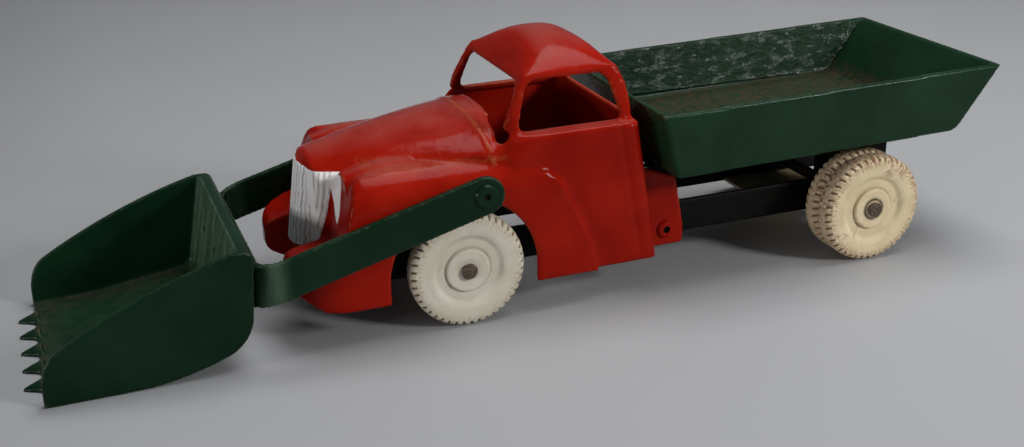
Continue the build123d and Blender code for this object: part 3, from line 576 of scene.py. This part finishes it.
step = (1 - ramp(np.abs(x - door_front), 6.0, 11.0)) * ramp(z, 77.0, 81.0)
step = step * (1 - ramp(z, 86.0, 91.0)) * ramp(side, 33.0, 37.0)
pillar_foot = (1 - ramp(np.abs(x - pillar_front), 14.0, 20.0)) * ramp(z, 82.0, 86.0)
pillar_foot = pillar_foot * (1 - ramp(z, 102.0, 107.0)) * ramp(side, 22.0, 28.0)
roof_skin = ramp(z, 115.5, 121.0) * (x < -20)
nose_top = (x > 48) * ramp(z, 58, 64)
eased(cab, 0.7 * step, 70)
eased(cab, 0.6 * pillar_foot, 60, push_back=1.0)
eased(cab, 0.7 * roof_skin, 140)
eased(cab, 0.5 * nose_top, 6)
print("vertices eased:", int(((step + pillar_foot + roof_skin + nose_top) > 0).sum()), "of", len(x))

# %% [markdown]
# ## Cowl ridge and door groove
# A low ridge crosses the cowl in front of the windscreen, and a groove outlines the back of the door,
# leaning back on its way down.  Both have a bell-shaped section and are moved along the normals.

# %% Cowl ridge and door groove
door_sill, door_head = 20.0, 87.0
ridge_x, ridge_sweep, ridge_width, ridge_height = -13.0, 0.06, 1.3, 0.55
groove_x, groove_head, groove_width, groove_depth = -80.0, 87.5, 0.9, 0.6
groove_run, groove_drop = 12.0, 67.0

x, y, z = layout(cab)
side = np.abs(y)
normals = normals_of(cab.data)
faces_up = normals[:, 2] > 0.2
on_bonnet = (z > 76) & (side < 46.5) & (x > -21) & (x < -4)
on_door = (side > 46) & (z < door_head) & (z > door_sill) & (np.abs(normals[:, 1]) > 0.7)
from_ridge = x - ridge_x + side * ridge_sweep
from_groove = x - groove_x + (groove_head - z) * groove_run / groove_drop
lift = ridge_height * bell(from_ridge, 0, ridge_width) * on_bonnet * faces_up
lift = lift - groove_depth * bell(from_groove, 0, groove_width) * on_door
put_vertices(cab.data, vertices_of(cab.data) + normals * lift[:, None] * mm)
print("lifted by up to", round(lift.max(), 2), "mm and sunk by up to", round(-lift.min(), 2), "mm")

# %% [markdown]
# ## Silver and wear on the cab
# Aluminium paint covers the prow, a cheek with upright furrows on each side of it, and a crescent behind
# the cheek.  The furrows are dark lines in the colour only, as the cheek has no grooves in its shape.
# Between cheek and crescent a leaf of bare red is left, widest at its foot.  Each painted field is the
# least of a few signed distances in millimetres, one for each of its edges.  The red wears through on
# crests, on the seam under the bonnet and on the cowl's ridge, and is painted paler where it faces up, as
# a painted sheen.

# %% Silver and wear on the cab
silver_top, silver_root = 76.0, 43.0
prow_half, prow_foot, prow_root = 19, 36, 58
leaf_x, leaf_lean, leaf_tip, leaf_length, leaf_foot_half = 48.0, 0.382, 72.0, 28.0, 7.3
furrow_pitch = 2.9
behind_leaf = leaf_x - x + side * leaf_lean
leaf_half = leaf_foot_half * np.clip((leaf_tip - z) / leaf_length, 0, 1) ** 1.6
crescent_reach = 5.6 - 2.5 * (np.clip(64.0 - z, 0, 20) / 10.0) ** 2
brow_reach = 14 * ramp(z, 46, 62)
cheek_foot = 42 + 1.6 * np.clip(side - 18.5, 0, None)

crescent = least(behind_leaf - leaf_half, crescent_reach - behind_leaf, z - 55, silver_top - z,
                 x - silver_root, 28 + brow_reach - side)
cheek = least(-leaf_half - behind_leaf, z - cheek_foot, silver_top - z, x - silver_root,
              24 + brow_reach - side)
prow = least(prow_half - side, z - prow_foot, silver_top - z, x - prow_root)
paint(cab.data, "silver", 0.5 + np.maximum.reduce([crescent, cheek, prow]) / 3.0)
# The cheeks' furrows are dark lines in the colour, with no grooves in the shape.
furrow = 0.5 + 0.5 * np.cos(2 * np.pi * (leaf_half + behind_leaf) / furrow_pitch)
paint(cab.data, "furrow", furrow ** 2 * (side > pod_inner_side) * (cheek > 0) * 0.7)

crest = ramp(crests(cab.data), 0.18, 0.45)
roof = (z > 108) & (x < -20)
seam = bell(z, 79.6, 1.4) * (side > 18) * (side < 50) * (x > -46) * (x < 44)
cowl = bell(from_ridge, 0, 0.9) * on_bonnet
paint(cab.data, "worn", 0.5 * crest * (1 - 0.8 * roof) * (z > 30) + 0.25 * seam * faces_up + 0.6 * cowl)
# Painted sheen: roof and bonnet top are painted paler where they face up.
paint(cab.data, "painted_top_sheen", ramp(normals[:, 2], 0.90, 0.99) * (z > 76))
print("cab vertices on a crest:", int((crest > 0.5).sum()))

# %% [markdown]
# ## Wear on the green castings
# The tray's floor is rubbed by its loads, its inner walls keep the roughness of the sand and carry a faint
# painted sheen, and its upper rim is scuffed.  The bucket is rubbed along the sides and the front of its
# floor, and worn on its crests short of the teeth; its back wall has streaks of painted sheen, and its floor
# a little.
# The arms are worn on their crests and at their bends, and their bends carry a painted sheen.

# %% Wear on the green castings
tray_inner_half, tray_rim = 57.4, 90
x, y, z = layout(tray)
side = np.abs(y)
normals = normals_of(tray.data)
tray_floor = (normals[:, 2] > 0.5) * (1 - ramp(z, 71.5, 76.0)) * (side < tray_inner_half) * (z > 58.0)
tray_wall = (side < 58.5) * (side > 52) * (np.abs(normals[:, 1]) > 0.5) * (z > 68)
paint(tray.data, "worn", 0.5 * ramp(crests(tray.data), 0.26, 0.50) * (z > tray_rim))
# Painted sheen: a faint paleness on the tray's inner walls.
paint(tray.data, "pale", 0.06 * tray_wall)
paint(tray.data, "rubbed", tray_floor)
paint(tray.data, "coarse", tray_wall * (1 - 0.5 * ramp(x, -130, -110)))

bucket_inner_half, teeth_root = 53.6, 196
x, y, z = layout(bucket)
side = np.abs(y)
normals = normals_of(bucket.data)
on_floor = ramp(normals[:, 2], 0.4, 0.8) * (side < bucket_inner_half) * (1 - ramp(z, 8, 16))
on_floor = on_floor * (z > 0.9) * (1 - ramp(x, 192, 197))
near_edge = np.clip(ramp(side, 36.0, 52.0) + ramp(x, 182.0, 194.0), 0, 1)
back_wall = ramp(normals[:, 0], 0.4, 0.8) * (1 - ramp(x, 126, 140)) * ramp(z, 8, 20)
short_of_teeth = 1 - ramp(x, teeth_root, teeth_root + 4)
paint(bucket.data, "worn", ramp(crests(bucket.data), 0.30, 0.62) * 0.6 * short_of_teeth)
paint(bucket.data, "rubbed", near_edge * on_floor * 0.75)
paint(bucket.data, "coarse", 0.25 * back_wall)
# Painted sheen: pale streaks down the bucket's back wall and a little on its floor.
paint(bucket.data, "pale", 0.75 * back_wall + 0.08 * on_floor)

x, y, z = layout(yoke)
bends = ramp(x, 84.0, 92.0) * ramp(np.abs(y), 49.0, 54.0) * 0.5
paint(yoke.data, "worn", ramp(crests(yoke.data), 0.26, 0.56) * 0.6 + bends * (1 - ramp(z, 24.0, 30.0)))
# Painted sheen at the arms' bends.
paint(yoke.data, "pale", bends)
print("rubbed vertices on the tray:", int(tray_floor.astype(bool).sum()))

# %% [markdown]
# ## The grille's ribs
# The prow of the grille is half an ellipse in plan, with a straight stretch behind it, and it grows
# narrower and further forward on its way down.  A thin skin follows it, a quarter of a millimetre
# outside, and stands out further on each rib.  The ribs wander a little, as if cut by hand.  They are
# geometry rather than a bump, because they break the prow's outline.

# %% Ribbed grille skin
grille_foot, grille_brow = 36.0, 77.5
foot_nose, brow_nose = 73.5, 67.0
foot_half, brow_half = 14.0, 19.0
grille_back, straight_share = 44.0, 0.45
rib_count, rib_rise = 17, 0.7
skin_gap, skin_wall = 0.25, 0.9
fan = 86


def grille_skin(columns=340, rows=70):
    """A strip wrapped round the prow and closed by an inner wall.  At the height and the turn of each
    point, x = back + depth * (0.45 + 0.55 * cos(turn)) and y = half width * sin(turn); the point is then
    moved outward by the gap plus the rise times |sin(pi * ribs)| to the power 0.7, where ribs is the
    share of the arc times the number of ribs, plus the wander."""
    share = np.linspace(0, 1, rows)[:, None]
    height = 37.0 + (76.6 - 37.0) * share
    along = (height - grille_foot) / (grille_brow - grille_foot)
    nose, half = foot_nose + (brow_nose - foot_nose) * along, foot_half + (brow_half - foot_half) * along
    turn = np.linspace(-fan, fan, columns)[None, :] * np.pi / 180
    depth = nose - grille_back
    x = grille_back + depth * (straight_share + 0.55 * np.cos(turn))
    y = half * np.sin(turn)
    outward_x, outward_y = half * np.cos(turn), depth * 0.55 * np.sin(turn)
    length = np.hypot(outward_x, outward_y)
    outward_x, outward_y = outward_x / length, outward_y / length

    arc_steps = np.hypot(np.diff(x, axis=1, prepend=x[:, :1]), np.diff(y, axis=1, prepend=y[:, :1]))
    arc = np.cumsum(arc_steps, axis=1)
    wander = 0.10 * np.sin(height * 0.55 + 3.0 * turn) + 0.07 * np.sin(height * 1.3 - 5.0 * turn)
    rib = np.abs(np.sin(np.pi * (arc / arc[:, -1:] * rib_count + wander))) ** 0.7
    edge = np.minimum(ramp(share, 0, 0.03), ramp(1 - share, 0, 0.03))
    edge = edge * ramp(fan - np.abs(turn) * 180 / np.pi, 0, 4)
    lift = skin_gap + edge * rib_rise * rib

    height = height + 0 * x
    outer = np.stack([x + lift * outward_x, y + lift * outward_y, height], axis=-1)
    inner = np.stack([x - skin_wall * outward_x, y - skin_wall * outward_y, height], axis=-1)
    ring = np.concatenate([outer, inner[:, ::-1]], axis=1)
    cap = (ring + ring[:, ::-1]) / 2
    ring = np.concatenate([cap[:1], ring, cap[-1:]])
    ring[..., 0] += front_axle_x / mm
    mesh = grid_mesh("grille_ribs", ring * mm, False, True)
    # The grooves between the ribs are painted darker.
    groove = np.concatenate([1 - ramp(rib, 0.15, 0.75), 0 * rib], axis=1)
    paint(mesh, "dirt_and_dark_grooves", np.concatenate([groove[:1], groove, groove[-1:]]))
    return mesh


ribs = add_piece("grille_ribs", grille_skin())
ribs.data.materials.append(silver)
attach(ribs, body_of_node["cab_casting"])
print("grille ribs:", len(ribs.data.polygons), "faces")

# %% [markdown]
# ## Rubber wheels
# The wheel is one surface of revolution.  Its section runs from the bore over the hub, the sunk web and
# the rounded tyre to the other side.  Along the two shoulders the radius dips in a ring of slanting
# notches, which is what gives the edge its saw teeth.  Each wheel gets a phase of its own, so that no two
# show the same notch on top.

# %% Section of the wheel
def wheel_section():
    """Half section (radius, place across) from the bore to the middle of the tread, finely divided."""
    corners = np.array([(3.3, 4.5), (3.4, 4.65), (9.9, 4.65), (10.6, 4.35), (10.9, 3.0), (11.3, 2.7),
                        (12.0, 3.0), (15.2, 3.1), (16.0, 3.3), (17.9, 4.9), (19.5, 5.4), (22.5, 5.62),
                        (24.6, 5.6), (26.2, 5.3), (27.4, 4.7), (28.15, 3.7), (28.45, 2.4), (28.5, 1.2),
                        (28.5, 0.0)]) * mm
    steps = np.hypot(*np.diff(corners, axis=0).T)
    along = np.concatenate([[0], np.cumsum(steps)])
    fine = np.linspace(0, along[-1], 96)
    return np.interp(fine, along, corners[:, 0]), np.interp(fine, along, corners[:, 1])


print("wheel radius", round(wheel_section()[0].max() / mm, 2), "mm")

# %% [markdown]
# ## Notches, dirt and wash
# The notches are cut into the surface itself, because they show against the light on the wheel's rim,
# where a bump would stay flat.  The same angles then say where the dirt lies.

# %% Notched wheel
wheel_half = 5.65 * mm
notch_count, notch_depth, notch_half_share = 44, 1.5 * mm, 0.20
points_per_notch = 10
hub_edge, hub_dirt_width = 11.2 * mm, 0.5 * mm
rust_radius, rust_width = 5.3 * mm, 0.8 * mm


def rise(values, start, width):
    """0 up to the start, and 1 from one width beyond it."""
    return np.clip((values - start) / width, 0, 1)


def wheel_mesh(name, phase, wear):
    """Revolves the section about Y; near the shoulders the radius loses a notch depth that rises and falls
    with the angle, the notch's middle leaning with its place across.  The dirt painted on it is the notch,
    a ring round the hub, a veil on the tread and a ring of rust round the axle; the wash covers the rim
    in patches and fine streaks, which are sines of the angle.  The wear scales veil, rust and wash."""
    radius, across = wheel_section()
    radius = np.concatenate([radius, radius[-2::-1]])
    across = np.concatenate([across, -across[-2::-1]])
    turn = np.linspace(0, 2 * np.pi, notch_count * points_per_notch, endpoint=False)
    r = radius[:, None] + 0 * turn
    y = across[:, None] + 0 * turn
    lean = 0.34 * (np.abs(y) / wheel_half - 0.5)
    tooth = ((turn[None, :] + phase) * notch_count / (2 * np.pi) + np.sign(y) * 0.25 + lean) % 1.0
    dip = np.clip(1 - np.abs(tooth - 0.5) / notch_half_share, 0, 1) ** 0.7
    reach = rise(np.abs(y), 1.6 * mm, 1.0 * mm) * rise(r, 26.0 * mm, 1.1 * mm)
    ragged = 0.75 + 0.25 * np.sin(turn * 5 + phase * 9) * np.sin(turn * 13 + phase)
    r = r - notch_depth * dip * reach * ragged
    places = np.stack([r * np.sin(turn), y, r * np.cos(turn)], axis=-1)
    mesh = grid_mesh(name, places, True, True)

    tread = rise(r, 26.2 * mm, 1.4 * mm) * rise(-np.abs(y), -5.0 * mm, 1.2 * mm)
    hub = bell(radius[:, None], hub_edge, hub_dirt_width) * 0.35
    rust = bell(radius[:, None], rust_radius, rust_width) * wear ** 4 + 0 * turn
    paint(mesh, "dirt_and_dark_grooves", dip * reach * 1.2 + 0.08 * wear * tread + hub + rust)
    patchy = 0.75 + 0.25 * np.sin(turn * 2 + phase * 7) * np.sin(turn * 3 - phase)
    streaks = 0.65 + 0.35 * np.sin(turn * 97 + 2.5 * np.sin(turn * 19 + phase))
    rim = rise(r, (24.6 - 2.2 * streaks) * mm, 2.0 * mm) * streaks
    paint(mesh, "wash", wear * rim * patchy)
    return mesh


rear_wear, front_wear, phase_step = 1.0, 0.6, 0.37
wheel_nodes = sorted(name for name in nodes if "wheel" in name)
for number, name in enumerate(wheel_nodes):
    low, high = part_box(name)
    centre = (Vector(low) + Vector(high)) / 2
    rear = "rear" in name
    mesh = wheel_mesh(name + "_rubber", number * phase_step, rear_wear if rear else front_wear)
    put_vertices(mesh, vertices_of(mesh) + np.array(centre))
    stand_for(add_piece(name + "_rubber", mesh), name, old_rubber if rear else finishes["white_rubber"])
print("wheels:", ", ".join(wheel_nodes))

# %% [markdown]
# ## Rivet heads
# The two heads that the arms turn on are softened like the castings.  Each has a dark centre hole, which
# is painted shade, because it is too small and too deep to need a shape.

# %% Pivot heads
pivot_hole_radius = 1.6
for end in ("left", "right"):
    head = softened("pivot_rivet_" + end, 0.3 * mm, 3)
    x, y, z = layout(head)
    low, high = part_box("pivot_rivet_" + end)
    middle_x, middle_z = ((low[i] + high[i]) / 2 / mm for i in (0, 2))
    # Painted shade: the centre hole of each head is painted dark.
    paint(head.data, "hole", np.hypot(x + front_axle_x / mm - middle_x, z - middle_z) < pivot_hole_radius)
print("pivot heads holed to a radius of", pivot_hole_radius, "mm")

# %% [markdown]
# ## Ear bosses
# Each ear of the cab has a round boss where its pin ends: a surface of revolution about Y that rises from
# the ear, rounds over and dips into a hole, whose inside is painted dark as shade.

# %% Ear bosses
ear_outer = 36.0
boss_columns = 48


def boss_mesh(name, middle, outward):
    """Radius and height of the boss turned about Y: foot, rounded shoulder, rim, hole and its bottom."""
    profile = np.array([(5.0, -0.2), (4.8, 0.7), (4.1, 1.4), (3.0, 1.8), (2.1, 1.8), (1.7, 1.6), (1.6, 0.2),
                        (0.01, 0.15)])
    turn = np.linspace(0, 2 * np.pi, boss_columns, endpoint=False) * outward
    radius, height = profile[:, :1], profile[:, 1:]
    places = np.stack([radius * np.sin(turn), outward * height + 0 * turn, radius * np.cos(turn)], axis=-1)
    mesh = grid_mesh(name, (places + middle) * mm, False, True)
    # Painted shade: the hole and its bottom are painted dark.
    paint(mesh, "hole", np.repeat(profile[:, 0] < 1.75, boss_columns))
    return mesh


low, high = (np.array(corner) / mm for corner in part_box("cab_pins"))
for name, outward in (("left", 1.0), ("right", -1.0)):
    middle = np.array(((low[0] + high[0]) / 2, outward * ear_outer, (low[2] + high[2]) / 2))
    boss = add_piece("ear_boss_" + name, boss_mesh("ear_boss_" + name, middle, outward))
    boss.data.materials.append(finishes["red_paint"])
    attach(boss, body_of_node["cab_casting"])
print("bosses on both ears, at a height of", round(float(middle[2]), 1), "mm")

# %% [markdown]
# ## The floor
# A pale grey floor, so wide that it fills the view to the top.  Its colour is painted darker ahead of the
# truck and to its right: painted shade, as on a backdrop where the light no longer reaches.

# %% Floor
floor_half = 6.0
floor_mesh = bpy.data.meshes.new("floor")
floor_mesh.from_pydata([(-floor_half, -floor_half, 0), (floor_half, -floor_half, 0),
                        (floor_half, floor_half, 0), (-floor_half, floor_half, 0)], [], [(0, 1, 2, 3)])
floor = add_piece("floor", floor_mesh)
floor_paint, floor_shader = recipe("pale floor", specular=0.3)
grain = object_noise(floor_paint, 3.0)
floor_places = add_node(floor_paint, "ShaderNodeTexCoord")
split = add_node(floor_paint, "ShaderNodeSeparateXYZ")
wire(floor_paint, floor_places.outputs["Object"], split.inputs["Vector"])
ahead = product(floor_paint, split.outputs["X"], 0.9)
ahead_right = combine(floor_paint, "SUBTRACT", ahead, product(floor_paint, split.outputs["Y"], 0.4))
shade = blend(floor_paint, grain, (0.375, 0.38, 0.39), (0.395, 0.40, 0.41))
# Painted shade: the floor's colour darkens ahead of the truck and to its right.
shade = blend(floor_paint, band(floor_paint, ahead_right, 0.15, 0.45), shade, (0.27, 0.275, 0.285))
wire(floor_paint, shade, floor_shader.inputs["Base Color"])
wire(floor_paint, band(floor_paint, grain, 0.3, 0.7, 0.5, 0.6), floor_shader.inputs["Roughness"])
floor_mesh.materials.append(floor_paint)
print("floor", 2 * floor_half, "m wide")

# %% [markdown]
# ## The lights
# A large soft box overhead gives the broad, soft shadow under the truck.  A small fill, behind the truck
# and on the right of the view, shapes its near side, and a low window in front gives the bonnet and the
# bucket something to reflect.  A weak bluish world keeps the shadows from going black.

# %% Lights
def area_light(name, place, target, size, power):
    """A rectangular light that looks at its target; size in metres, power in watts."""
    data = bpy.data.lights.new(name, "AREA")
    data.shape = "RECTANGLE"
    data.size, data.size_y = size
    data.energy = power
    lamp = bpy.data.objects.new(name, data)
    lamp.location = place
    lamp.rotation_mode = "QUATERNION"
    lamp.rotation_quaternion = (Vector(target) - Vector(place)).to_track_quat("-Z", "Y")
    bpy.context.scene.collection.objects.link(lamp)


area_light("soft box overhead", (-0.32, -0.10, 1.20), (-0.06, 0, 0), (0.9, 0.6), 11.2)
area_light("fill on the right", (-0.90, 1.05, 0.72), (-0.08, 0, 0), (0.26, 0.26), 10.8)
area_light("low window in front", (1.20, 0.30, 0.20), (0.05, 0, 0.05), (0.30, 0.16), 3.2)
world = bpy.data.worlds.new("studio")
world.use_nodes = True
background = world.node_tree.nodes["Background"]
background.inputs["Color"].default_value = (0.9, 0.93, 1.0, 1.0)
background.inputs["Strength"].default_value = 0.13
bpy.context.scene.world = world
print("lights:", ", ".join(light.name for light in bpy.data.lights))

# %% [markdown]
# ## The camera
# It stands on the truck's left, a little ahead of the front axle, and looks down on it.  Yaw turns it
# about Z, pitch lowers its view, and roll leans it a degree.

# %% Camera
camera_data = bpy.data.cameras.new("camera")
camera_data.lens = 45.49
camera_data.sensor_width = 36.0
camera = bpy.data.objects.new("camera", camera_data)
bpy.context.scene.collection.objects.link(camera)
camera_place = Vector((front_axle_x + 179.53 * mm, 579.66 * mm, 278.43 * mm))
yaw, pitch, roll = -0.3649, 0.3859, -0.0174
forward = Vector((math.sin(yaw) * math.cos(pitch), -math.cos(yaw) * math.cos(pitch), -math.sin(pitch)))
level = forward.cross(Vector((0, 0, 1))).normalized()
upward = level.cross(forward)
right = math.cos(roll) * level + math.sin(roll) * upward
up = math.cos(roll) * upward - math.sin(roll) * level
turned = Matrix((right, up, -forward)).transposed().to_4x4()
camera.matrix_world = Matrix.Translation(camera_place) @ turned
bpy.context.scene.camera = camera
bpy.context.scene.view_settings.view_transform = "Standard"
print("camera looks along", tuple(round(v, 3) for v in forward))
